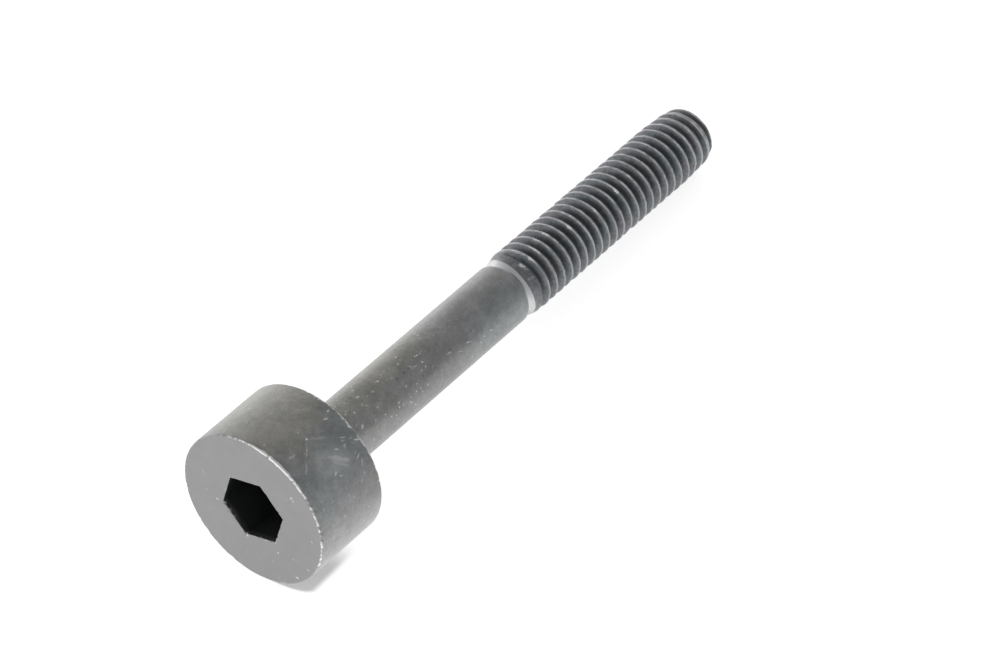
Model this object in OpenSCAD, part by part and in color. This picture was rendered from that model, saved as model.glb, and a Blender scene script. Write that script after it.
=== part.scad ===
// Socket head screw with a large cylindrical head, a plain shank and a rolled thread.
// It stands on the drive face of its head: the origin is the middle of that face,
// and +Z runs up the axis to the tip. The whole screw is one piece of steel.

/* [Head] */
// Diameter of the head
head_d = 18.5; // [14:0.1:24]
// Height of the head
head_h = 10; // [8:0.1:14]
// Radius on the rim of the drive face
drive_rim_r = 0.2; // [0.05:0.05:0.8]
// Radius on the rim of the bearing face
bearing_rim_r = 0.1; // [0.05:0.05:0.8]

/* [Hexagon socket] */
// Width across the flats
socket_af = 7.2; // [4:0.1:9]
// Depth of the flats
socket_depth = 5; // [3:0.1:5.5]
// Included angle of the drill point below the flats
drill_angle = 120; // [110:1:150]

/* [Shank] */
// Diameter of the plain shank
shank_d = 7.35; // [7.2:0.05:7.8]
// Length of the plain shank, from the bearing face
shank_len = 33.5; // [20:0.1:34.5]
// Radius where the shank meets the head
fillet_r = 0.4; // [0.1:0.05:1]
// Radius on the far end of the shank
shank_end_r = 0.35; // [0.1:0.05:0.5]

/* [Thread] */
// Length from the bearing face to the tip
length = 69.4; // [66:0.1:90]
// Major diameter of the thread
thread_d = 7.86; // [7.4:0.02:8.4]
// Pitch, 18 turns to the inch
pitch = 1.411; // [1:0.001:1.6]
// Diameter of the neck between shank and thread
neck_d = 6.3; // [5:0.1:6.3]
// Length of the neck, up to where its cone ends
neck_len = 0.7; // [0.5:0.05:2]
// Diameter of the rolled blank, seen as a collar before the first turn
blank_d = 7.1; // [6.8:0.05:7.2]
// Length of the collar before the crests begin to rise
collar_len = 0.8; // [0.5:0.05:2]
// Length over which the crests rise to the major diameter
rise_len = 1.7; // [0.5:0.1:3]
// Direction round the axis in which the first groove starts, in degrees
start_angle = -117; // [-180:1:180]

/* [Tip] */
// Length of the slow taper before the point
lead_len = 4; // [2:0.1:8]
// Diameter at the end of the slow taper
lead_d = 7.4; // [7:0.05:7.4]
// Length of the steeper cone of the point
point_len = 1; // [0.6:0.05:2]
// Diameter at the end of that cone
point_d = 6.8; // [6.3:0.05:6.9]
// Height of the bevel round the end face
end_bevel = 0.35; // [0.2:0.05:0.8]
// Diameter of the flat end face
end_d = 6; // [4:0.1:6]

/* [Hidden] */

round_fn = 128;           // facets of the turned surfaces in a preview
steps = 40;               // facets in one turn of the thread
flank_angle = 30;         // half of the thread's included angle
depth_ratio = 0.6134;     // thread depth over pitch
root_ratio = 1 / 6;       // flat at the root over pitch
run_in = 1 / 6;           // turns in which the groove deepens, and in which it fades at the tip
least_depth = 0.03;       // depth of the groove at its two ends
seat = 0.01;              // how far the threaded body stays inside the turned blank
overlap = 0.3;            // how far it reaches down into it

head_r = head_d / 2;
shank_r = shank_d / 2;
neck_r = neck_d / 2;
blank_r = blank_d / 2;
socket_r = socket_af / 2;
minor_r = thread_d / 2 - depth_ratio * pitch;
root_half = root_ratio * pitch / 2;

// Heights of the turned profile, from the drive face up
shank_z = head_h + shank_len;
neck_z = shank_z + neck_len;
join_z = neck_z + collar_len / 2;
rise_z = neck_z + collar_len;
tip_z = head_h + length;
bevel_z = tip_z - end_bevel;
point_z = bevel_z - point_len;
lead_z = point_z - lead_len;

// Radius of the screw over its crests, as height and radius
crest_profile = [
    [neck_z, blank_r],
    [rise_z, blank_r],
    [rise_z + rise_len, thread_d / 2],
    [lead_z, thread_d / 2],
    [point_z, lead_d / 2],
    [bevel_z, point_d / 2],
    [tip_z, end_d / 2]
];

function crest_r(z) = lookup(z, crest_profile);

// The groove is followed by a step number: its middle climbs one pitch in `steps` steps.
groove_z = rise_z + pitch / 2;
full_half = root_half + depth_ratio * pitch * tan(flank_angle);
last = floor((bevel_z - least_depth - full_half - groove_z) / pitch * steps);

function middle_z(i) = groove_z + pitch * i / steps;
function turn(i) = start_angle + 360 * i / steps;
function ease(t) = let(u = min(1, max(0, t))) u * u * (3 - 2 * u);
function fade(i) = ease(i / (run_in * steps)) * ease((last - i) / (run_in * steps));
function depth(i) =
    max(least_depth, fade(i) * (crest_r(middle_z(i)) - minor_r));
function groove_half(i) = root_half + depth(i) * tan(flank_angle);

function on_axis(r, a, z) = [r * cos(a), r * sin(a), z];
function crest_point(i, dz) =
    on_axis(crest_r(middle_z(i) + dz), turn(i), middle_z(i) + dz);
function root_point(i, dz) =
    on_axis(crest_r(middle_z(i)) - depth(i), turn(i), middle_z(i) + dz);

// Four corners of the groove at one step, from the lower crest over the root to the upper one
function groove_points(i) = [
    crest_point(i, -groove_half(i)),
    root_point(i, -root_half),
    root_point(i, root_half),
    crest_point(i, groove_half(i))
];

// Two triangles of a four-sided patch: low left, low right, high right, high left,
// left and right as seen from outside
function patch(ll, lr, hr, hl) = [[ll, hl, hr], [ll, hr, lr]];

// Head, shank, neck and the foot of the thread, as one revolved profile
module turned_blank() {
    rotate_extrude($fn = round_fn) {
        difference() {
            square([head_r, head_h]);
            translate([head_r - drive_rim_r, 0])
                outer_corner(drive_rim_r);
            translate([head_r - bearing_rim_r, head_h])
                mirror([0, 1])
                    outer_corner(bearing_rim_r);
        }
        difference() {
            square([shank_r, shank_z]);
            translate([shank_r - shank_end_r, shank_z])
                mirror([0, 1])
                    outer_corner(shank_end_r);
        }
        translate([shank_r, head_h])
            inner_corner(fillet_r);
        polygon([
            [0, head_h],
            [neck_r, head_h],
            [neck_r, neck_z - (blank_r - neck_r)],
            [blank_r, neck_z],
            [blank_r, join_z],
            [0, join_z]
        ]);
    }
}

// What a radius takes off an outside corner whose two sides meet at the low right
module outer_corner(r) {
    difference() {
        square(r);
        translate([0, r])
            circle(r, $fn = round_fn);
    }
}

// What a fillet adds to an inside corner at the origin
module inner_corner(r) {
    difference() {
        square(r);
        translate([r, r])
            circle(r, $fn = round_fn);
    }
}

// Hexagon with its corners on X, and the point of the drill that went before it
module hexagon_socket() {
    translate([0, 0, -head_h])
        cylinder(h = head_h + socket_depth, r = socket_r / cos(30), $fn = 6);
    translate([0, 0, socket_depth])
        cylinder(h = socket_r / tan(drill_angle / 2), r1 = socket_r, r2 = 0, $fn = round_fn);
}

// The threaded length as one closed skin: a flat foot, one strip that follows the
// groove from its start to its end, and the bevelled end face
module threaded_body() {
    count = (last + 1) * 4;
    foot = count;
    collar = foot + steps;
    bevel = collar + steps;
    end = bevel + steps;

    // Rings are numbered from the direction in which the groove starts or ends
    function ring(r, z, from) = [
        for (i = [0 : steps - 1]) on_axis(r, turn(from + i), z)
    ];
    function at(i, j) = i * 4 + j;
    function around(base, i) = base + (i % steps + steps) % steps;

    points = concat(
        [for (i = [0 : last]) each groove_points(i)],
        ring(blank_r - seat, join_z - overlap, 0),
        ring(blank_r - seat, rise_z, 0),
        ring(point_d / 2, bevel_z, last),
        ring(end_d / 2, tip_z, last)
    );

    // Flanks and root, then the crest between one turn and the next
    groove = [
        for (i = [0 : last - 1], j = [0 : 2])
            each patch(at(i, j), at(i + 1, j), at(i + 1, j + 1), at(i, j + 1))
    ];
    crest = [
        for (i = [0 : last - steps - 1])
            each patch(at(i, 3), at(i + 1, 3), at(i + 1 + steps, 0), at(i + steps, 0))
    ];

    // Collar below the first turn: the last patch closes on the groove's start
    below = [
        for (i = [0 : steps - 2])
            each patch(around(collar, i), around(collar, i + 1), at(i + 1, 0), at(i, 0))
    ];
    below_seam = [
        [around(collar, -1), at(steps - 1, 0), at(steps, 0)],
        [around(collar, -1), at(steps, 0), at(0, 3)],
        [around(collar, -1), at(0, 3), at(0, 0)],
        [around(collar, -1), at(0, 0), around(collar, 0)]
    ];
    start_step = [
        [at(0, 0), at(0, 3), at(0, 2)],
        [at(0, 0), at(0, 2), at(0, 1)]
    ];

    // Point above the last turn: the first patch opens on the groove's end
    top = last - steps;
    above = [
        for (i = [1 : steps - 1])
            each patch(at(top + i, 3), at(top + i + 1, 3), around(bevel, i + 1), around(bevel, i))
    ];
    above_seam = [
        [at(top + 1, 3), at(top, 3), at(last, 0)],
        [at(top + 1, 3), at(last, 0), at(last, 3)],
        [at(top + 1, 3), at(last, 3), around(bevel, 0)],
        [at(top + 1, 3), around(bevel, 0), around(bevel, 1)]
    ];
    end_step = [
        [at(last, 0), at(last, 1), at(last, 2)],
        [at(last, 0), at(last, 2), at(last, 3)]
    ];

    rings = [
        for (i = [0 : steps - 1])
            each concat(
                patch(around(foot, i), around(foot, i + 1), around(collar, i + 1), around(collar, i)),
                patch(around(bevel, i), around(bevel, i + 1), around(end, i + 1), around(end, i))
            )
    ];
    caps = [
        [for (i = [0 : steps - 1]) foot + i],
        [for (i = [0 : steps - 1]) end + steps - 1 - i]
    ];

    polyhedron(
        points,
        concat(groove, crest, below, below_seam, start_step, above, above_seam, end_step, rings, caps),
        convexity = 10
    );
}

module screw() {
    color("dimgray")
        difference() {
            union() {
                turned_blank();
                threaded_body();
            }
            hexagon_socket();
        }
}

screw();
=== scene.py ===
import math

import bmesh
import bpy
import numpy as np
from mathutils import Matrix, Vector


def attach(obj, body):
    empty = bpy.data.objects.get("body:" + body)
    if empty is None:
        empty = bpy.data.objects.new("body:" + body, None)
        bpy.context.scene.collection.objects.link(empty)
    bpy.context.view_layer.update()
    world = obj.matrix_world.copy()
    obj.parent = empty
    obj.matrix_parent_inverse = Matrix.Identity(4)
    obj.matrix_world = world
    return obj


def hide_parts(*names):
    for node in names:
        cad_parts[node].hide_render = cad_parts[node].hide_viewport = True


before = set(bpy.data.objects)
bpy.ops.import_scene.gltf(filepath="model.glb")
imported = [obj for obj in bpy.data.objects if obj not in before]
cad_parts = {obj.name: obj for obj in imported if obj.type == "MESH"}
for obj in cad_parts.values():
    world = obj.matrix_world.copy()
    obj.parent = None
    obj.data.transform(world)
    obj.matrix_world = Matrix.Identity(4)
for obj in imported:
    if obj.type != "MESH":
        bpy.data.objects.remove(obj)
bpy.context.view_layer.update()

MM = 0.001
rng = np.random.default_rng(7)
scene = bpy.context.scene

# ---------------------------------------------------------------- camera
# The camera of the photograph. Its place and direction were fitted to the head's ellipses,
# the hexagon and the outlines, at a focal length that was chosen.
AIM = Vector((1.866, 2.442, 39.691)) * MM
FORWARD = Vector((-0.59352, 0.52968, 0.60595)).normalized()
UP = Vector((-0.20465, -0.82748, 0.52288)).normalized()
DISTANCE = 451.35 * MM
SENSOR_WIDTH = 36.0
FOCAL_LENGTH = SENSOR_WIDTH * 4.115

camera_data = bpy.data.cameras.new("photo_camera")
camera_data.sensor_width = SENSOR_WIDTH
camera_data.lens = FOCAL_LENGTH
camera_data.clip_start, camera_data.clip_end = 0.01, 10.0
camera = bpy.data.objects.new("photo_camera", camera_data)
scene.collection.objects.link(camera)
RIGHT = FORWARD.cross(UP).normalized()
UP = RIGHT.cross(FORWARD)
camera.matrix_world = Matrix.Translation(AIM - FORWARD * DISTANCE) @ Matrix(
    (RIGHT, UP, -FORWARD)
).transposed().to_4x4()
scene.camera = camera
scene.view_settings.view_transform = "Standard"

# ---------------------------------------------------------------- sizes of the screw, in mm
HEAD_R, HEAD_H = 9.25, 10.0
FRONT_RIM, REAR_RIM = 0.2, 0.1
SOCKET_R, SOCKET_DEPTH = 3.6, 5.0
SHANK_R, SHANK_Z = 3.675, 43.5
FILLET, SHANK_END = 0.4, 0.35
NECK_R, BLANK_R = 3.15, 3.55
NECK_Z, RISE_Z = 44.2, 45.0
PITCH, MAJOR_R = 1.411, 3.93
DEPTH_RATIO = 0.6134   # thread depth over pitch
FLANK_SLOPE = math.tan(math.radians(30))
MINOR_R = MAJOR_R - DEPTH_RATIO * PITCH
ROOT_HALF = PITCH / 12
GROOVE_Z = RISE_Z + PITCH / 2
TIP_Z = 79.4
RISE_LENGTH, LEAD_Z, POINT_Z, BEVEL_Z = 1.7, 74.05, 78.05, 79.05
LEAD_R, POINT_R, END_R = 3.7, 3.4, 3.0
CREST_Z = (NECK_Z, RISE_Z, RISE_Z + RISE_LENGTH, LEAD_Z, POINT_Z, BEVEL_Z, TIP_Z)
CREST_R = (BLANK_R, BLANK_R, MAJOR_R, MAJOR_R, LEAD_R, POINT_R, END_R)

FINE = 480         # columns round the head
COARSE = 120       # columns round the shank, and in one turn of the thread
START_COLUMN = -39  # column in which the first groove starts, at -117 degrees
# Places of the mesh's rows across one turn of the groove, from its middle
UPPER_ROWS = np.array([0.04, 0.1, 0.16, 0.32, 0.5, 0.6, 0.637, 0.7055])
ROWS = np.concatenate([-UPPER_ROWS[::-1], UPPER_ROWS])
LAST_ROW = len(ROWS) - 1
LAST_STEP = 2804   # the strip ends just below the end face


def ease(t):
    t = np.clip(t, 0, 1)
    return t * t * (3 - 2 * t)


def soft_min(a, b, k):
    h = np.clip(0.5 + 0.5 * (b - a) / k, 0, 1)
    return b + (a - b) * h - k * h * (1 - h)


class Skin:
    """One closed mesh, collected ring by ring. Every ring runs the same way round +Z,
    and the rings follow the surface from the bottom of the socket to the tip."""

    def __init__(self):
        self.points, self.sunk, self.cone, self.faces, self.count = [], [], [], [], 0

    def add(self, points, sunk=0.0, cone=0.0):
        points = np.asarray(points, float).reshape(-1, 3)
        first = self.count
        self.points.append(points)
        self.sunk.append(np.broadcast_to(sunk, len(points)))
        self.cone.append(np.broadcast_to(float(cone), len(points)))
        self.count += len(points)
        return np.arange(first, self.count)

    def patch(self, low_left, low_right, high_right, high_left):
        corners = []
        for c in (int(low_left), int(low_right), int(high_right), int(high_left)):
            if c not in corners:
                corners.append(c)
        if len(corners) > 2:
            self.faces.append(corners)

    def band(self, low, high):
        for a, b, c, d in zip(low, np.roll(low, -1), np.roll(high, -1), high):
            self.patch(a, b, c, d)

    def fewer(self, fine, coarse):
        """Joins a fine ring to the next one, which has a whole fraction of its points."""
        k = len(fine) // len(coarse)
        for j, here in enumerate(coarse):
            after = coarse[(j + 1) % len(coarse)]
            for m in range(k):
                p, q = fine[j * k + m], fine[(j * k + m + 1) % len(fine)]
                self.patch(p, q, here if m < k // 2 else after, p)
            self.patch(fine[j * k + k // 2], after, here, here)


def turned(r, z, columns):
    a = np.arange(columns) * 2 * math.pi / columns
    return np.stack([r * np.cos(a), r * np.sin(a), np.broadcast_to(z, a.shape)], 1)


def arc(centre_r, centre_z, radius, start, end, count):
    """Points (r, z) on an arc, with angles in degrees from +r towards +z."""
    return [
        (centre_r + radius * math.cos(t), centre_z + radius * math.sin(t))
        for t in np.radians(np.linspace(start, end, count))
    ]


# ---------------------------------------------------------------- nicks in the edges
def random_nicks(count, widths, depths):
    """Direction in degrees, half width along the edge and depth, in mm."""
    return [
        (
            rng.uniform(-180, 180),
            widths[0] + (widths[1] - widths[0]) * rng.random() ** 2,
            depths[0] + (depths[1] - depths[0]) * rng.random() ** 2,
        )
        for _ in range(count)
    ]


def nick_depth(angle, radius, nicks):
    total = np.zeros_like(angle)
    for at, width, depth in nicks:
        s = np.radians((angle - at + 180) % 360 - 180) * radius / width
        total = np.maximum(total, depth * np.clip(1 - s * s, 0, 1) ** 1.5)
    return total


def press_edge(points, edge_r, edge_z, out, into, reach, nicks):
    """Presses nicks into the points near an edge: out and into are the shares of a
    nick's depth that go along the radius and along Z."""
    r = np.hypot(points[:, 0], points[:, 1])
    a = np.degrees(np.arctan2(points[:, 1], points[:, 0]))
    away = np.hypot(r - edge_r, points[:, 2] - edge_z)
    press = nick_depth(a, float(np.mean(edge_r)), nicks) * np.exp(-((away / reach) ** 2))
    points[:, :2] *= (1 + out * press / r)[:, None]
    points[:, 2] += into * press


FRONT_NICKS = random_nicks(90, (0.12, 0.6), (0.01, 0.07)) + [
    (-61, 0.32, 0.17), (-42, 0.35, 0.12), (-38.5, 0.25, 0.14), (-35.5, 0.22, 0.08),
    (-23, 0.3, 0.12), (-19.5, 0.35, 0.14), (-15, 0.25, 0.1), (-2, 0.3, 0.09),
    (3, 0.35, 0.12), (8, 0.25, 0.1), (17, 0.5, 0.08), (35, 0.3, 0.1), (-97, 0.4, 0.08),
]
REAR_NICKS = random_nicks(50, (0.12, 0.5), (0.01, 0.05)) + [
    (-42, 0.35, 0.1), (-32, 0.3, 0.1), (-20, 0.2, 0.09), (-8, 0.3, 0.07), (2, 0.25, 0.08),
]
MOUTH_NICKS = random_nicks(24, (0.08, 0.25), (0.01, 0.06)) + [
    (176, 0.22, 0.14), (163, 0.3, 0.1), (150, 0.25, 0.08), (118, 0.25, 0.16), (46, 0.25, 0.1),
    (65, 0.3, 0.07), (90, 0.25, 0.06),
]
CREST_NICKS = random_nicks(700, (0.1, 0.45), (0.0, 0.1))

# ---------------------------------------------------------------- head
skin = Skin()
angles = np.arange(FINE) * 2 * math.pi / FINE
hexagon = SOCKET_R / np.cos(np.radians(np.degrees(angles) % 60 - 30))
DRILL_SLOPE = math.tan(math.radians(30))
FIRST_MOUTH_RING = 6   # the rings before it lie too deep for the nicks
MOUTH_WIDTH = 1.1

rings = [
    turned(SOCKET_R * s, SOCKET_DEPTH + SOCKET_R * (1 - s) * DRILL_SLOPE, FINE)
    for s in (0.1, 0.4, 0.7, 0.985)
]
rings += [turned(hexagon, z, FINE) for z in (SOCKET_DEPTH, 4.0, 2.5, 1.2, 0.5, 0.25, 0.12)]
rings += [
    turned(hexagon + out, z, FINE)
    for out, z in ((0.02, 0.05), (0.06, 0.015), (0.12, 0), (0.25, 0), (0.5, 0), (MOUTH_WIDTH, 0))
]
for p in rings[FIRST_MOUTH_RING:]:
    press_edge(p, hexagon, 0, 0.8, 0.7, 0.17, MOUTH_NICKS)

inner = hexagon + MOUTH_WIDTH
rings += [
    turned(inner + (HEAD_R - FRONT_RIM - inner) * s, 0, FINE)
    for s in (0.3, 0.62, 0.84, 0.92, 0.97)
]
side = arc(HEAD_R - FRONT_RIM, FRONT_RIM, FRONT_RIM, -90, 0, 7)
SIDE_Z = (0.28, 0.38, 0.52, 0.75, 1.2, 2.2, 3.4, 4.8, 6.2, 7.6, 8.6, 9.2, 9.5, 9.68, 9.8)
side += [(HEAD_R, z) for z in SIDE_Z]
side += arc(HEAD_R - REAR_RIM, HEAD_H - REAR_RIM, REAR_RIM, 0, 90, 5)
side += [(9.03, HEAD_H), (8.8, HEAD_H), (8.2, HEAD_H), (7.0, HEAD_H)]
for r, z in side:
    p = turned(r, z, FINE)
    if z < HEAD_H / 2:
        press_edge(p, HEAD_R, 0, -0.75, 0.65, 0.3, FRONT_NICKS)
    else:
        press_edge(p, HEAD_R, HEAD_H, -0.75, -0.65, 0.2, REAR_NICKS)
    rings.append(p)

apex = skin.add([[0, 0, SOCKET_DEPTH + SOCKET_R * DRILL_SLOPE]])[0]
head_ids = [skin.add(p) for p in rings]
skin.band(np.full(FINE, apex), head_ids[0])
for low, high in zip(head_ids, head_ids[1:]):
    skin.band(low, high)

# ---------------------------------------------------------------- shank, neck and collar
SWELL_ANGLES = (0, 47, 100, 200, 260, 320, 360)
SWELLS = (0.1, 0.17, 0.15, 0.12, 0.1, 0.05, 0.1)
COLLAR_Z, COLLAR_LEAN = 44.94, 0.8
COLLAR_LOW_SIDE = -40   # direction in degrees in which the collar starts lowest


def collar_swell(angle):
    """How far the rolled collar stands out of the blank, by direction in degrees."""
    return np.interp(angle % 360, SWELL_ANGLES, SWELLS)


def collar_start(angle):
    """Height at which the collar's corner lies: it leans towards its low side."""
    toward = np.cos(np.radians(angle - COLLAR_LOW_SIDE))
    return COLLAR_Z - COLLAR_LEAN * np.maximum(0, toward)


below = [(5.6, HEAD_H), (4.6, HEAD_H)]
below += arc(SHANK_R + FILLET, HEAD_H + FILLET, FILLET, 270, 180, 6)
below += [(SHANK_R, z) for z in np.linspace(11, SHANK_Z - SHANK_END - 0.15, 40)]
below += arc(SHANK_R - SHANK_END, SHANK_Z - SHANK_END, SHANK_END, 0, 84, 7)
column_angle = np.arange(COARSE) * 360 / COARSE
collar_r, collar_z = BLANK_R + collar_swell(column_angle), collar_start(column_angle)
neck = [(NECK_R, SHANK_Z + 0.06), (NECK_R - 0.02, SHANK_Z + 0.14)]
neck += [(NECK_R, np.maximum(SHANK_Z + 0.2, collar_z - 0.55)),
         (NECK_R + 0.05, np.maximum(SHANK_Z + 0.25, collar_z - 0.48)),
         (collar_r - 0.03, collar_z - 0.03)]
body_ids = [skin.add(turned(r, z, COARSE)) for r, z in below]
body_ids += [skin.add(turned(r, z, COARSE), cone=1) for r, z in neck]


# ---------------------------------------------------------------- thread
RUN_IN = 6          # the groove reaches its depth in a sixth of a turn
FAINT_DEPTH = 0.11  # share of the depth that it has before its start
FAINT_TURNS, FAINT_RUN_IN = 0.7, 5
ROOT_ROUNDING = 0.12
CREST_ROUNDING = (0.002, 0.028)   # on the collar, and what a deep groove adds


def crest_radius(z, swell):
    r = np.interp(z, CREST_Z, CREST_R)
    return np.where(z < RISE_Z + 2, np.minimum(r + swell, MAJOR_R), r)


def thread_radius(step, z):
    """Radius of the threaded length, and how far that is below the crests, at a column
    counted from the groove's start and a height."""
    swell = collar_swell((step + START_COLUMN) * 360 / COARSE)
    crest = crest_radius(z, swell)
    climb = (z - GROOVE_Z) / PITCH - step / COARSE
    turn = np.round(climb)
    away = np.abs(climb - turn) * PITCH
    along = step / COARSE + turn
    faint = FAINT_DEPTH * ease((along + FAINT_TURNS) * FAINT_RUN_IN)
    fade = np.maximum(ease(along * RUN_IN), faint)
    middle_z = GROOVE_Z + PITCH * along
    full = crest_radius(middle_z, swell)
    root = full - fade * np.maximum(full - MINOR_R, 0)
    flank = root + (away - ROOT_HALF) / FLANK_SLOPE
    groove = -soft_min(-root, -flank, ROOT_ROUNDING)
    radius = soft_min(crest, groove, CREST_ROUNDING[0] + CREST_ROUNDING[1] * fade)
    return radius, crest - radius


crest_damage = np.zeros(LAST_STEP + COARSE + 1)
for _, width, depth in CREST_NICKS:
    middle = rng.integers(0, LAST_STEP + COARSE)
    half = max(1, int(width / (2 * math.pi * MAJOR_R) * COARSE * 2))
    for c in range(max(0, middle - half), min(len(crest_damage), middle + half + 1)):
        crest_damage[c] = max(crest_damage[c], depth * (1 - ((c - middle) / (half + 1)) ** 2))


def thread_points(step, z, crest_share, crest_step):
    """Adds points of the thread; crest_share is how near they are to the crest's middle."""
    step, z = np.asarray(step, float), np.asarray(z, float)
    r, sunk = thread_radius(step, z)
    r = r - crest_share * crest_damage[np.clip(crest_step, 0, len(crest_damage) - 1).astype(int)]
    a = np.radians((step + START_COLUMN) * 360 / COARSE)
    return skin.add(np.stack([r * np.cos(a), r * np.sin(a), z], -1), sunk)


for t in np.linspace(0, 1, 9):
    z = collar_z + (RISE_Z - collar_z) * t
    r, sunk = thread_radius(np.arange(COARSE) - START_COLUMN, z)
    body_ids.append(skin.add(turned(r, z, COARSE), sunk))
skin.fewer(head_ids[-1], body_ids[0])
for low, high in zip(body_ids, body_ids[1:]):
    skin.band(low, high)
foot = body_ids[-1]


def crest_share(away):
    return np.clip((np.abs(away) - 0.5) / 0.15, 0, 1)


TOP_Z = GROOVE_Z + PITCH * LAST_STEP / COARSE + PITCH / 2
strip = {}
for k in range(LAST_ROW):
    steps = np.arange(LAST_STEP + 1)
    z = GROOVE_Z + PITCH * steps / COARSE + ROWS[k]
    ids = thread_points(steps, z, crest_share(ROWS[k]), steps + (COARSE if ROWS[k] > 0 else 0))
    for i in steps:
        strip[i, k] = ids[i]
steps = np.arange(LAST_STEP - COARSE + 1, LAST_STEP + 1)
ids = thread_points(steps, GROOVE_Z + PITCH * steps / COARSE + PITCH / 2, 1.0, steps + COARSE)
for i, p in zip(steps, ids):
    strip[i, LAST_ROW] = p
for i in range(LAST_STEP - COARSE + 1):
    strip[i, LAST_ROW] = strip[i + COARSE, 0]

# Fan from the flat foot ring to the first turn
fan = {}
for k in range(1, LAST_ROW):
    steps = np.arange(1, COARSE)
    rise = (ROWS[k] + PITCH / 2) * steps / COARSE
    ids = thread_points(steps, RISE_Z + rise, 0.0, steps)
    for i, p in zip(steps, ids):
        fan[i, k] = p
for i in range(COARSE + 1):
    fan[i, 0] = foot[(i + START_COLUMN) % COARSE]
    fan[i, LAST_ROW] = strip[i, 0]
for k in range(LAST_ROW + 1):
    fan[COARSE, k] = strip[0, k]
    fan[0, k] = strip[0, 0]
fan[COARSE, 0] = strip[0, 0]
# The foot ring's point in that column stands for the strip's own first point
start = foot[START_COLUMN % COARSE]

# Fan from the last turn to a flat ring below the end face
top = {}
for k in range(1, LAST_ROW + 1):
    steps = np.arange(LAST_STEP - COARSE + 1, LAST_STEP)
    fall = (PITCH / 2 - ROWS[k]) * (LAST_STEP - steps) / COARSE
    ids = thread_points(steps, TOP_Z - fall, 0.0, steps)
    for i, p in zip(steps, ids):
        top[i, k] = p
for k in range(LAST_ROW + 1):
    top[LAST_STEP - COARSE, k] = strip[LAST_STEP, k]
    top[LAST_STEP, k] = strip[LAST_STEP, LAST_ROW]
for i in range(LAST_STEP - COARSE, LAST_STEP + 1):
    top[i, 0] = strip[i, LAST_ROW]

for i in range(LAST_STEP):
    for k in range(LAST_ROW):
        skin.patch(strip[i, k], strip[i + 1, k], strip[i + 1, k + 1], strip[i, k + 1])
for i in range(COARSE):
    for k in range(LAST_ROW):
        skin.patch(fan[i, k], fan[i + 1, k], fan[i + 1, k + 1], fan[i, k + 1])
for i in range(LAST_STEP - COARSE, LAST_STEP):
    for k in range(LAST_ROW):
        skin.patch(top[i, k], top[i + 1, k], top[i + 1, k + 1], top[i, k + 1])

last_ring = np.zeros(COARSE, int)
for i in range(LAST_STEP - COARSE, LAST_STEP):
    last_ring[(i + START_COLUMN) % COARSE] = top[i, LAST_ROW]
end_ids = [last_ring] + [skin.add(turned(r, TIP_Z, COARSE)) for r in (2.98, 2.7, 1.8, 0.8)]
end_middle = skin.add([[0, 0, TIP_Z]])[0]
for low, high in zip(end_ids, end_ids[1:]):
    skin.band(low, high)
skin.band(end_ids[-1], np.full(COARSE, end_middle))

# ---------------------------------------------------------------- the piece
points = np.concatenate(skin.points)
faces = [[int(start) if c == int(strip[0, 0]) else c for c in f] for f in skin.faces]
mesh = bpy.data.meshes.new("screw_steel")
mesh.from_pydata((points * MM).tolist(), [], faces)
mesh.validate()
screw = bpy.data.objects.new("screw_steel", mesh)
scene.collection.objects.link(screw)
sunk_below = mesh.attributes.new("below_crest", "FLOAT", "POINT")
sunk_below.data.foreach_set("value", np.concatenate(skin.sunk).astype(np.float32))
on_cone = mesh.attributes.new("neck_cone", "FLOAT", "POINT")
on_cone.data.foreach_set("value", np.concatenate(skin.cone).astype(np.float32))
bm = bmesh.new()
bm.from_mesh(mesh)
# the strip's first point is left without a face, because the foot ring's point stands for it
bmesh.ops.delete(bm, geom=[v for v in bm.verts if not v.link_faces], context="VERTS")
bm.to_mesh(mesh)
bm.free()
mesh.shade_smooth()
SHARP_ANGLE = math.radians(38)
mesh.set_sharp_from_angle(angle=SHARP_ANGLE)


# ---------------------------------------------------------------- node helper
class Graph:
    """Short way to write a node tree: an input is a value or another node's output."""

    def __init__(self, tree):
        self.tree = tree
        tree.nodes.clear()

    def add(self, kind, inputs=(), out=0, **settings):
        node = self.tree.nodes.new(kind)
        for name, value in settings.items():
            setattr(node, name, value)
        for name, value in dict(inputs).items():
            socket = node.inputs[name]
            if isinstance(value, bpy.types.NodeSocket):
                self.tree.links.new(value, socket)
            else:
                socket.default_value = value
        return node.outputs[out] if node.outputs else None

    def math(self, operation, a, b=0.0, clamp=False):
        return self.add("ShaderNodeMath", {0: a, 1: b}, operation=operation, use_clamp=clamp)

    def range(self, value, low, high, to_low=0.0, to_high=1.0, smooth=True):
        return self.add(
            "ShaderNodeMapRange",
            {0: value, 1: low, 2: high, 3: to_low, 4: to_high},
            interpolation_type="SMOOTHSTEP" if smooth else "LINEAR",
        )

    def dot(self, a, b):
        return self.add("ShaderNodeVectorMath", {0: a, 1: b}, out="Value", operation="DOT_PRODUCT")

    def noise(self, vector, scale, detail=3.0, rough=0.55, out=0):
        return self.add(
            "ShaderNodeTexNoise",
            {"Vector": vector, "Scale": scale, "Detail": detail, "Roughness": rough},
            out=out,
        )

    def scaled(self, factor, colour):
        """A colour times a number that varies over the surface."""
        grey_factor = self.add("ShaderNodeCombineXYZ", {0: factor, 1: factor, 2: factor})
        return self.product(colour, grey_factor)

    def product(self, a, b):
        return self.add(
            "ShaderNodeMix", {0: 1.0, 6: a, 7: b}, out=2, data_type="RGBA", blend_type="MULTIPLY"
        )

    def mix(self, share, a, b):
        return self.add(
            "ShaderNodeMix", {0: share, 6: a, 7: b}, out=2, data_type="RGBA", clamp_factor=True
        )


def grey(v, alpha=1.0):
    return (v, v, v, alpha)


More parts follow.
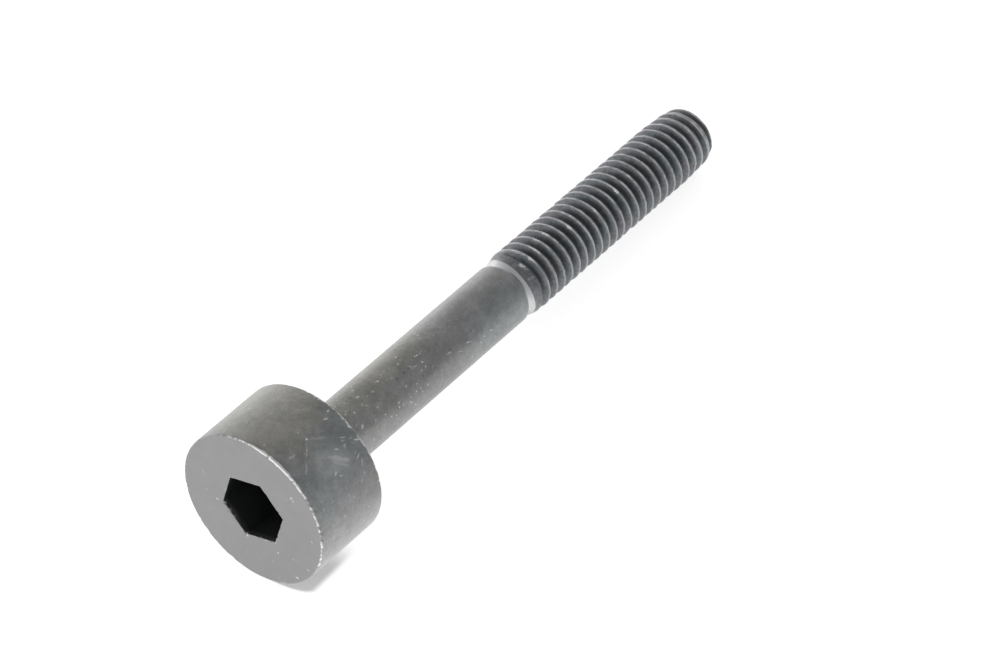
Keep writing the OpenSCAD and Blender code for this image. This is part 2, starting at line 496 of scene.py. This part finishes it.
# ---------------------------------------------------------------- light
# A white tent all round, with a wide grey opening on the side where the photographer stood.
OPENING = Vector((0.55, -0.79, 0.26)).normalized()
OPENING_DEPTH, OPENING_ANGLE, OPENING_EDGE = 0.63, 73.0, 11.0
world = bpy.data.worlds.new("tent")
scene.world = world
world.use_nodes = True
g = Graph(world.node_tree)
toward = g.add("ShaderNodeTexCoord", out="Generated")
angle = g.math("DEGREES", g.math("ARCCOSINE", g.dot(toward, OPENING)))
fall = g.math("DIVIDE", g.math("SUBTRACT", angle, OPENING_ANGLE), OPENING_EDGE)
share = g.math("DIVIDE", 1.0, g.math("ADD", g.math("EXPONENT", fall), 1.0))
level = g.math("SUBTRACT", 1.0, g.math("MULTIPLY", share, OPENING_DEPTH))
path = g.add("ShaderNodeLightPath", out="Is Camera Ray")
level = g.math("MAXIMUM", level, path)
back = g.add("ShaderNodeBackground", {"Color": grey(1.0), "Strength": level})
g.add("ShaderNodeOutputWorld", {"Surface": back})

# ---------------------------------------------------------------- floor
# The surface on which the screw lies in the photograph, touching its rear rim and its thread.
FLOOR_NORMAL = Vector((0.2904, -0.9535, -0.0807)).normalized()
FLOOR_OFFSET = -10.035
FLOOR_SIDE = Vector((0.9566, 0.2914, 0.0))
floor_mesh = bpy.data.meshes.new("floor")
along = FLOOR_NORMAL.orthogonal().normalized()
across = FLOOR_NORMAL.cross(along)
middle = FLOOR_NORMAL * (FLOOR_OFFSET * MM) + AIM - FLOOR_NORMAL * AIM.dot(FLOOR_NORMAL)
HALF_WIDTH = 0.6   # in metres, far past the camera's view
floor_mesh.from_pydata(
    [
        middle + along * a * HALF_WIDTH + across * b * HALF_WIDTH
        for a, b in ((-1, -1), (1, -1), (1, 1), (-1, 1))
    ],
    [],
    [(0, 1, 2, 3)],
)
floor = bpy.data.objects.new("floor", floor_mesh)
scene.collection.objects.link(floor)
if floor_mesh.polygons[0].normal.dot(FLOOR_NORMAL) < 0:
    floor_mesh.flip_normals()
paper = bpy.data.materials.new("white_floor")
paper.use_nodes = True
g = Graph(paper.node_tree)
rays = g.add("ShaderNodeLightPath").node.outputs
place = g.add("ShaderNodeNewGeometry", out="Position")
# Contact shadow under the head: the floor glows less within a rounded outline. u runs
# across the head in half widths of the shadow, v along the screw in mm.
SHADOW_HALF_WIDTH = 6.75 * MM
SHADOW_FRONT, SHADOW_DEPTH = 1.9, 1.95
GLOW, SHADOW_LOSS = 0.75, 0.52
u = g.math("DIVIDE", g.dot(place, FLOOR_SIDE), SHADOW_HALF_WIDTH)
v = g.dot(place, FLOOR_SIDE.cross(FLOOR_NORMAL))
v = g.math("MULTIPLY", v, math.copysign(1 / MM, FLOOR_SIDE.cross(FLOOR_NORMAL).z))
# For glossy rays the floor glows unevenly, most near the screw and beside the head: painted light, seen in
# the steel's reflections.
beside = g.range(g.dot(place, FLOOR_SIDE), 0.004, 0.05, 0.58, 0.25)
by_head = g.math("MULTIPLY", g.range(u, 0.75, 1.3), g.range(v, 14.0, 22.0, 0.24, 0.0))
beside = g.math("ADD", beside, g.math("MULTIPLY", by_head, g.range(u, 2.0, 4.0, 1.0, 0.0)))
front = g.math("MINIMUM", g.math("SUBTRACT", v, SHADOW_FRONT), 0.0)
front = g.math("DIVIDE", front, SHADOW_DEPTH)
pair = g.add("ShaderNodeCombineXYZ", {0: u, 1: front})
outline = g.add("ShaderNodeVectorMath", {0: pair}, out="Value", operation="LENGTH")
contact = g.math("MULTIPLY", g.range(outline, 0.88, 1.02, 1.0, 0.0), g.range(v, 4.8, 9.8, 1.0, 0.0))
camera_glow = g.math("SUBTRACT", GLOW, g.math("MULTIPLY", contact, SHADOW_LOSS))
glow = g.math(
    "ADD",
    g.math("MULTIPLY", rays["Is Camera Ray"], camera_glow),
    g.math("MULTIPLY", rays["Is Glossy Ray"], beside),
)
white = g.add(
    "ShaderNodeBsdfPrincipled",
    {"Base Color": grey(0.8), "Roughness": 0.25, "IOR": 1.45,
     "Emission Color": grey(1.0), "Emission Strength": glow},
)
clear = g.add("ShaderNodeBsdfTransparent")
behind = g.add("ShaderNodeNewGeometry", out="Backfacing")
g.add(
    "ShaderNodeOutputMaterial",
    {"Surface": g.add("ShaderNodeMixShader", {0: behind, 1: white, 2: clear})},
)
floor_mesh.materials.append(paper)

# ---------------------------------------------------------------- steel
def tangent_frame(at, normal, lean):
    """Axes of a mark: along it, across it, out of the surface. lean is measured from the
    screw's axis, or from +X on the drive face, in degrees."""
    reference = Vector((1, 0, 0)) if abs(normal.z) > 0.5 else Vector((0, 0, 1))
    sideways = normal.cross(reference)
    t = math.radians(lean)
    along = reference * math.cos(t) - sideways * math.sin(t)
    if abs(normal.z) <= 0.5:
        along = reference * math.cos(t) + reference.cross(normal) * math.sin(t)
    return Matrix((along, normal.cross(along), normal)).transposed()


# Marks that show in the photograph, on the head's side and on the shank: direction round
# the axis in degrees, height, half length and half width in mm, lean in degrees, strength
SIDE_MARKS = [
    (-53, 4.8, 0.17, 0.14, 0, 1.0), (-49, 5.8, 1.2, 0.16, 33, 0.16),
    (-39, 8.2, 0.45, 0.07, 30, 0.45), (-37.5, 8.0, 0.35, 0.06, 30, 0.4),
    (-35.5, 6.7, 0.32, 0.08, 33, 0.7), (-34, 7.8, 0.25, 0.15, -45, 0.35),
    (-30, 6.3, 1.5, 0.34, 40, 0.4), (-27.5, 6.0, 1.3, 0.26, 44, 0.3), (-38, 4.6, 1.1, 0.1, 0, 0.2),
    (-31, 5.4, 2.8, 1.6, 25, 0.13),
    (-24, 4.9, 0.2, 0.11, -20, 0.75), (-20.5, 5.4, 0.25, 0.1, 20, 0.55),
    (-23, 8.5, 0.4, 0.07, -30, 0.55), (-18, 8.6, 0.5, 0.07, -60, 0.5),
    (-55, 8.3, 0.28, 0.09, 33, 0.7), (-58, 9.2, 0.18, 0.12, 0, 0.8),
    (-32, 9.5, 0.45, 0.08, 33, 0.7), (-41, 9.75, 0.3, 0.14, 60, 0.8),
    (-47.5, 3.8, 0.9, 0.1, -45, 0.3), (-39, 2.3, 0.9, 0.13, -45, 0.25),
    (-50.5, 2.0, 0.6, 0.14, 0, 0.25), (-8, 7.5, 0.3, 0.08, -40, 0.3),
    (5, 4.0, 0.25, 0.06, 10, 0.3), (14, 7.8, 0.2, 0.1, 0, 0.35),
]
SHANK_MARKS = [
    (-58, 26.5, 0.11, 0.09, 0, 0.9), (-43, 26.3, 0.14, 0.11, 0, 1.0), (-34, 26.3, 0.1, 0.09, 0, 0.8),
    (-50, 24.7, 0.4, 0.07, 70, 0.5), (-46, 25.2, 0.3, 0.06, 20, 0.5),
    (-17, 33.0, 0.5, 0.06, 20, 0.7), (-25, 30.0, 0.4, 0.07, 10, 0.6), (-14, 31.4, 0.4, 0.06, 25, 0.4),
    (0, 34.7, 0.12, 0.1, 0, 0.8), (-6, 35.4, 0.13, 0.11, 0, 0.9), (-6, 36.6, 0.12, 0.08, 0, 0.7),
    (-17, 20.7, 0.17, 0.1, -30, 1.0), (-10, 20.6, 0.1, 0.09, 0, 0.9), (-10, 22.5, 0.2, 0.07, 40, 0.6),
    (-27, 15.0, 0.28, 0.16, -40, 0.6), (-70, 17.2, 0.2, 0.13, 0, 0.6), (-79, 15.6, 0.14, 0.1, 0, 0.6),
    (-60, 19.0, 0.2, 0.12, 20, 0.4), (-49, 17.1, 0.35, 0.06, 33, 0.5), (-68, 24.0, 0.12, 0.1, 0, 0.6),
    (-81, 24.7, 0.15, 0.11, 0, 0.8), (-10, 24.3, 0.2, 0.08, -45, 0.6), (-3, 24.4, 0.12, 0.08, 0, 0.5),
    (-20, 16.9, 0.12, 0.1, 0, 0.6), (-35, 18.0, 0.12, 0.09, 0, 0.6), (-24, 24.5, 0.3, 0.05, 60, 0.4),
    (-13, 26.8, 0.5, 0.05, -20, 0.35), (10, 27.5, 0.7, 0.06, -50, 0.25), (-56, 22.0, 0.12, 0.08, 0, 0.45),
]
# Whitish scuffs on the rolled collar, and painted glints on the crests, in the same form
COLLAR_MARKS = [
    (-56, 45.5, 0.62, 0.36, 35, 0.9), (-46, 45.4, 0.8, 0.13, 50, 0.3), (-30, 45.2, 0.9, 0.15, 15, 0.28),
]
CREST_GLINTS = [
    (-57, 46.66, 0.28, 0.2, 90, 1.0), (-52, 46.72, 0.3, 0.16, 90, 0.9), (-63, 48.1, 0.3, 0.18, 90, 0.9),
    (-56, 48.15, 0.35, 0.15, 90, 0.6), (-78, 49.45, 0.5, 0.15, 90, 0.8), (-72, 49.5, 0.35, 0.15, 90, 0.7),
    (-70, 50.85, 0.45, 0.16, 90, 0.9), (-76, 50.8, 0.3, 0.15, 90, 0.7),
    (-49, 62.2, 0.5, 0.16, 90, 0.9), (-53.5, 59.45, 0.3, 0.14, 90, 0.7), (-47, 57.95, 0.25, 0.14, 90, 0.8),
    (-63.5, 56.6, 0.25, 0.14, 90, 0.7), (-53, 53.65, 0.45, 0.16, 90, 0.9), (-48, 55.3, 0.2, 0.14, 90, 0.5),
    (-53, 65.0, 0.3, 0.14, 90, 0.7), (-67, 55.1, 0.2, 0.14, 90, 0.6),
]
# On the drive face: x, y, half length, half width, lean, strength
FACE_MARKS = [
    (4.1, 7.6, 0.19, 0.16, 0, 1.0), (2.2, 4.9, 0.12, 0.1, 0, 0.9), (6.3, -3.3, 0.3, 0.09, -40, 0.8),
    (6.5, -3.0, 0.25, 0.08, 60, 0.5), (-5.9, -3.4, 0.4, 0.05, 75, 0.4), (-1.85, 3.75, 0.16, 0.12, 0, 1.0),
    (7.7, 1.9, 0.1, 0.08, 0, 0.7), (4.3, 5.1, 0.12, 0.07, 30, 0.5), (1.1, 6.3, 0.1, 0.07, 0, 0.5),
    (6.0, 6.0, 0.2, 0.08, 40, 0.5), (-6.2, -1.0, 0.12, 0.07, 0, 0.4), (-4.9, -0.1, 0.16, 0.1, 0, 0.6),
]

# Colours of the steel
VIOLET_GREY, PLAIN_GREY = (0.342, 0.335, 0.348, 1), (0.338, 0.34, 0.343, 1)
WARM_GREY = (0.348, 0.344, 0.332, 1)
OLIVE_GREY, TEAL_GREY = (0.352, 0.347, 0.318, 1), (0.322, 0.343, 0.349, 1)
FACE_GREY, COLLAR_GREY = (0.328, 0.325, 0.331, 1), (0.175, 0.18, 0.195, 1)
# The grooves' light and dark greys are painted light and shade, picked by side.
GROOVE_LIGHT, GROOVE_DARK = (0.21, 0.213, 0.222, 1), (0.16, 0.165, 0.176, 1)
GROOVE_ROOT = (0.128, 0.14, 0.148, 1)
STAIN_TEAL, STAIN_VIOLET = (0.92, 1.01, 1.01, 1), (1.05, 0.985, 1.02, 1)
# The crests' dull, bright and far greys are painted light, picked by side.
CREST_DULL, CREST_BRIGHT, CREST_FAR = (0.4, 0.4, 0.42, 1), (0.74, 0.73, 0.77, 1), (0.5, 0.5, 0.53, 1)
# The neck cone's greys, picked by side, are painted reflection.
RING_BRIGHT, RING_DULL, RING_BACK = (0.78, 0.785, 0.79, 1), (0.43, 0.435, 0.45, 1), (0.6, 0.6, 0.61, 1)
SOCKET_BLACK, BARE_STEEL_AND_HIGHLIGHT = (0.055, 0.06, 0.062, 1), (0.93, 0.93, 0.92, 1)
PIT_GREY, MARK_AND_GLINT_WHITE = (0.14, 0.145, 0.14, 1), (0.96, 0.97, 0.97, 1)

WEAR_AND_LIGHT_ANGLE = math.radians(-52)   # side towards the camera: the rims are painted bare there, partly wear and partly painted highlight, and the grooves and neck cone darker, painted shade and reflection
RIGHT_RIM = math.radians(-26)   # middle of the part of the front rim that is painted bare steel, partly wear and partly painted highlight
LEFT = math.radians(-95)   # the side that is upper left in the photograph
steel = bpy.data.materials.new("black_oxide_steel")
steel.use_nodes = True
g = Graph(steel.node_tree)
place = g.add("ShaderNodeTexCoord", out="Object")
place = g.add("ShaderNodeVectorMath", {0: place, "Scale": 1 / MM}, operation="SCALE")
parts = g.add("ShaderNodeSeparateXYZ", {0: place}).node.outputs
x, y, z = parts["X"], parts["Y"], parts["Z"]
flat = g.add("ShaderNodeCombineXYZ", {0: x, 1: y, 2: 0.0})
r = g.add("ShaderNodeVectorMath", {0: flat}, out="Value", operation="LENGTH")


def outward(angle):
    return Vector((math.cos(angle), math.sin(angle), 0))


def minus(a, b):
    return g.math("SUBTRACT", a, b)


def times(*values):
    total = values[0]
    for v in values[1:]:
        total = g.math("MULTIPLY", total, v)
    return total


def flip(value):
    return minus(1.0, value)


def most(*values):
    total = values[0]
    for v in values[1:]:
        total = g.math("MAXIMUM", total, v)
    return total


def away_from(a, a0, b, b0):
    """Distance from an edge whose section is the point (a0, b0)."""
    pair = g.add("ShaderNodeCombineXYZ", {0: minus(a, a0), 1: minus(b, b0), 2: 0.0})
    return g.add("ShaderNodeVectorMath", {0: pair}, out="Value", operation="LENGTH")


# Irregular shifts, in mm, that break up every drawn edge
fine_noise = g.noise(place, 2.6, 3.0, 0.6, out="Color")
shift = g.add("ShaderNodeVectorMath", {0: fine_noise, 1: (0.5, 0.5, 0.5)}, operation="SUBTRACT")
torn = g.add(
    "ShaderNodeVectorMath", {0: shift, 1: (0.45, 0.45, 0.45), 2: place}, operation="MULTIPLY_ADD"
)

# Where things are
threaded = g.range(z, 43.8, 44.0)
sunk = g.add("ShaderNodeAttribute", out="Fac", attribute_name="below_crest")
groove = times(threaded, g.range(sunk, 0.02, 0.14))
on_crest = times(g.range(z, 45.5, 46.8), flip(g.range(sunk, 0.0, 0.11)))
# Inside the socket, where the colour below paints shade.
socket = times(g.range(z, 0.05, 0.9), flip(g.range(r, 4.25, 4.35)), flip(g.range(z, 8.9, 9.0)))
ring = g.add("ShaderNodeAttribute", out="Fac", attribute_name="neck_cone")
jagged = g.math("MULTIPLY", g.noise(place, 1.0, 5.0, 0.72), 0.9)
# How far a point lies towards the camera's side: the bare rims reach further there, partly wear and partly
# painted highlight.
wear_and_light_side = g.math("DIVIDE", g.dot(flat, outward(WEAR_AND_LIGHT_ANGLE)), HEAD_R)
right_side = g.math("DIVIDE", g.dot(flat, outward(RIGHT_RIM)), HEAD_R)
reach = g.math(
    "ADD",
    g.range(right_side, 0.1, 0.7, -0.02, 0.14),
    g.range(wear_and_light_side, 0.9, 0.998, 0.0, 0.15),
)
uneven = g.math("MULTIPLY", g.noise(place, 1.4, 4.0, 0.7), 0.5)
rim_distance = minus(g.math("ADD", away_from(r, HEAD_R, z, 0.0), uneven), reach)
front_rim = flip(g.range(rim_distance, 0.17, 0.32))
rear_distance = times(away_from(r, HEAD_R, z, HEAD_H), g.range(wear_and_light_side, 0.5, 0.98, 1.6, 0.7))
rear_rim = flip(g.range(g.math("ADD", rear_distance, jagged), 0.45, 0.62))
across = most(*[
    g.math("ABSOLUTE", g.dot(place, outward(a)))
    for a in (math.radians(30), math.radians(90), math.radians(150))
])
mouth_distance = g.math("ADD", away_from(across, SOCKET_R, z, 0.0), jagged)
mouth = times(flip(g.range(mouth_distance, 0.36, 0.55)), flip(g.range(z, 1, 1.1)))

# Marks, and painted glints on the crests
broken = g.range(g.noise(place, 6.5, 2.0, 0.5), 0.4, 0.58, 0.3, 1.0)
marks_and_glints = 0.0
COLLAR_MARK_R, CREST_GLINT_R = 3.6, MAJOR_R - 0.05
for table, radius in ((SIDE_MARKS, HEAD_R), (SHANK_MARKS, SHANK_R), (COLLAR_MARKS, COLLAR_MARK_R),
                      (CREST_GLINTS, CREST_GLINT_R), (FACE_MARKS, None)):
    for first, second, half_length, half_width, lean, strength in table:
        if radius is None:
            at, normal = Vector((first, second, 0)), Vector((0, 0, -1))
        else:
            normal = outward(math.radians(first))
            at = normal * radius + Vector((0, 0, second))
        local = g.add(
            "ShaderNodeMapping",
            {"Vector": torn, "Location": at, "Rotation": tangent_frame(at, normal, lean).to_euler(),
             "Scale": (1.25 * half_length, 1.25 * half_width, 0.4 + 0.3 * half_length)},
            vector_type="TEXTURE",
        )
        near = g.add("ShaderNodeTexGradient", {"Vector": local}, out="Fac", gradient_type="SPHERICAL")
        mark = g.range(near, 0.0, 0.56, 0.0, strength)
        if table is COLLAR_MARKS:
            mark = g.math("MULTIPLY", mark, broken)
        marks_and_glints = g.math("MAXIMUM", marks_and_glints, mark)


def scattered(turn, stretch, cell, size, share, seed):
    """Short strokes or dots scattered over the surface: a few of the cells hold one."""
    spot = g.add(
        "ShaderNodeMapping",
        {"Vector": torn, "Location": (seed, seed * 1.7, -seed), "Rotation": turn,
         "Scale": (1 / cell, 1 / cell / stretch, 1 / cell)},
    )
    cells = g.add("ShaderNodeTexVoronoi", {"Vector": spot, "Scale": 1.0, "Randomness": 1.0}).node.outputs
    kind = g.add("ShaderNodeSeparateXYZ", {0: cells["Color"]}).node.outputs
    chosen = g.math("LESS_THAN", kind["X"], share)
    reach = g.range(kind["Y"], 0.0, 1.0, size * 0.5, size, smooth=False)
    inside = g.math("DIVIDE", cells["Distance"], reach)
    strength = g.range(kind["Z"], 0.0, 1.0, 0.35, 1.0, smooth=False)
    return times(chosen, flip(g.range(inside, 0.5, 1.1)), strength)


near_head = g.range(z, 22.0, 38.0, 1.0, 0.25)
scatter = most(
    scattered((0.3, 0.5, 0.2), 1.0, 0.75, 0.21, 0.75, 3.1),
    scattered((1.1, 0.2, 0.9), 3.0, 0.65, 0.15, 0.34, 11.3),
    scattered((0.2, 1.3, 2.1), 3.0, 0.65, 0.15, 0.34, 27.9),
)
on_side = flip(threaded)
off_face = times(g.range(z, 0.0, 0.4, 0.3, 1.0), g.range(z, 9.9, 10.5, 0.4, 1.0), flip(socket))
scatter = times(scatter, near_head, on_side, off_face, 0.95)
marks_and_glints = most(marks_and_glints, scatter)
pits = times(scattered((2.0, 0.4, 1.2), 1.6, 0.75, 0.3, 0.45, 43.7), near_head, on_side, off_face)

# Colour: dark oxide, mottled over some millimetres with faint olive, teal and violet
broad = g.noise(place, 0.16, 3.0, 0.55)
patches = g.noise(place, 0.45, 3.0, 0.6)
tint = g.add("ShaderNodeValToRGB", {0: g.noise(place, 0.3, 2.0, 0.5)})
ramp = tint.node.color_ramp
ramp.elements[0].position, ramp.elements[0].color = 0.32, VIOLET_GREY
ramp.elements[1].position, ramp.elements[1].color = 0.68, WARM_GREY
ramp_middle = ramp.elements.new(0.5)
ramp_middle.color = PLAIN_GREY
toward_left = g.math("DIVIDE", g.dot(flat, outward(LEFT)), g.math("MAXIMUM", r, 1.0))
toward_left = g.math("ADD", toward_left, times(minus(broad, 0.5), 0.9))
olive = times(g.range(toward_left, 0.5, 0.95), flip(g.range(z, 25.0, 33.0)), g.range(z, 0.2, 0.4))
teal_head = times(
    g.range(toward_left, -0.15, 0.3),
    flip(g.range(toward_left, 0.6, 0.9)),
    flip(g.range(z, 9.9, 14.0)),
    g.range(z, 0.2, 0.4),
)
teal_end = times(flip(g.range(toward_left, 0.6, 0.9)), g.range(z, 31.0, 37.0))
blotches = g.noise(place, 1.1, 4.0, 0.7)
tone = times(g.range(broad, 0.34, 0.66, 0.9, 1.1), g.range(patches, 0.36, 0.64, 0.92, 1.08),
             g.range(blotches, 0.36, 0.64, 0.92, 1.08), g.range(z, 1.0, 6.0, 0.92, 1.0),
             g.range(g.noise(place, 4.0, 4.0, 0.75), 0.3, 0.7, 0.9, 1.1))
colour = g.scaled(tone, tint)
colour = g.mix(times(olive, 0.9), colour, g.scaled(tone, OLIVE_GREY))
colour = g.mix(most(teal_head, teal_end), colour, g.scaled(tone, TEAL_GREY))
on_face = times(flip(g.range(z, 0.1, 0.25)), g.range(r, 3.4, 3.6))
face_tone = g.range(tone, 0.8, 1.2, 0.97, 1.03)
colour = g.mix(on_face, colour, g.scaled(face_tone, FACE_GREY))
collar_noise = g.range(g.noise(place, 1.6, 3.0, 0.65), 0.35, 0.6, 0.5, 1.0)
on_collar = times(threaded, flip(g.range(z, 45.4, 47.0)), collar_noise)
colour = g.mix(on_collar, colour, COLLAR_GREY)
# Grooves: painted shade on the side towards the camera and painted lighter on the other sides; darker
# towards their roots.
groove_colour = g.mix(g.range(wear_and_light_side, -0.1, 0.35), GROOVE_LIGHT, GROOVE_DARK)
groove_colour = g.mix(g.range(sunk, 0.12, 0.75), groove_colour, GROOVE_ROOT)
stained = g.range(g.noise(place, 0.5, 3.0, 0.6), 0.38, 0.62)
stain = g.mix(stained, STAIN_TEAL, STAIN_VIOLET)
groove_tone = g.range(g.noise(place, 2.2, 4.0, 0.72), 0.32, 0.68, 0.78, 1.22)
groove_colour = g.scaled(groove_tone, groove_colour)
groove_colour = g.product(groove_colour, stain)
colour = g.mix(groove, colour, groove_colour)
crest_wear = g.range(g.noise(place, 1.0, 4.0, 0.68), 0.36, 0.62, 0.2, 1.0)
# Crests: the noisy share is wear; their grey by side, dull to the right, bright towards the left and
# dimmer at the far left, is painted light.
crest_colour = g.mix(g.range(toward_left, 0.1, 0.75), CREST_DULL, CREST_BRIGHT)
crest_colour = g.mix(g.range(toward_left, 0.82, 1.02), crest_colour, CREST_FAR)
colour = g.mix(times(on_crest, crest_wear), colour, crest_colour)
# Neck cone: lighter than the shank; its grey by side, duller where it faces the camera, brightest to its
# sides and mid grey at the back, is painted reflection.
ring_colour = g.mix(g.range(wear_and_light_side, 0.12, 0.34), RING_BRIGHT, RING_DULL)
ring_colour = g.mix(g.range(wear_and_light_side, -0.15, 0.03), RING_BACK, ring_colour)
colour = g.mix(times(ring, 0.95), colour, ring_colour)
# The socket's inside is painted near black: painted shade in the recess.
colour = g.mix(socket, colour, SOCKET_BLACK)
# Bare steel: the socket's mouth is wear; the rims are partly wear and partly painted highlight, reaching
# further towards the camera's side.
bare_and_highlight = most(front_rim, times(rear_rim, 0.85), times(mouth, 0.45))
colour = g.mix(bare_and_highlight, colour, BARE_STEEL_AND_HIGHLIGHT)
colour = g.mix(times(pits, 0.6), colour, PIT_GREY)
# White for the marks, and for the crests' painted glints, which stand in for highlights.
colour = g.mix(marks_and_glints, colour, MARK_AND_GLINT_WHITE)

rough = g.range(patches, 0.3, 0.7, 0.36, 0.46)
rough = g.math("ADD", rough, times(marks_and_glints, 0.06))
rough = minus(rough, times(most(ring, bare_and_highlight, on_crest), 0.12))
rough = g.math("ADD", rough, times(socket, 0.2))

bump = g.add(
    "ShaderNodeBump",
    {"Strength": 1.0, "Distance": 0.004 * MM,
     "Height": g.noise(place, 3.0, 5.0, 0.7)},
)
shader = g.add(
    "ShaderNodeBsdfPrincipled",
    {"Base Color": colour, "Metallic": flip(times(marks_and_glints, 0.85)), "Roughness": rough, "Normal": bump,
     "Coat Weight": 0.8, "Coat Roughness": 0.34, "Coat IOR": 1.5, "Coat Normal": bump},
)
g.add("ShaderNodeOutputMaterial", {"Surface": shader})
mesh.materials.append(steel)

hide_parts("screw")
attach(screw, "root")
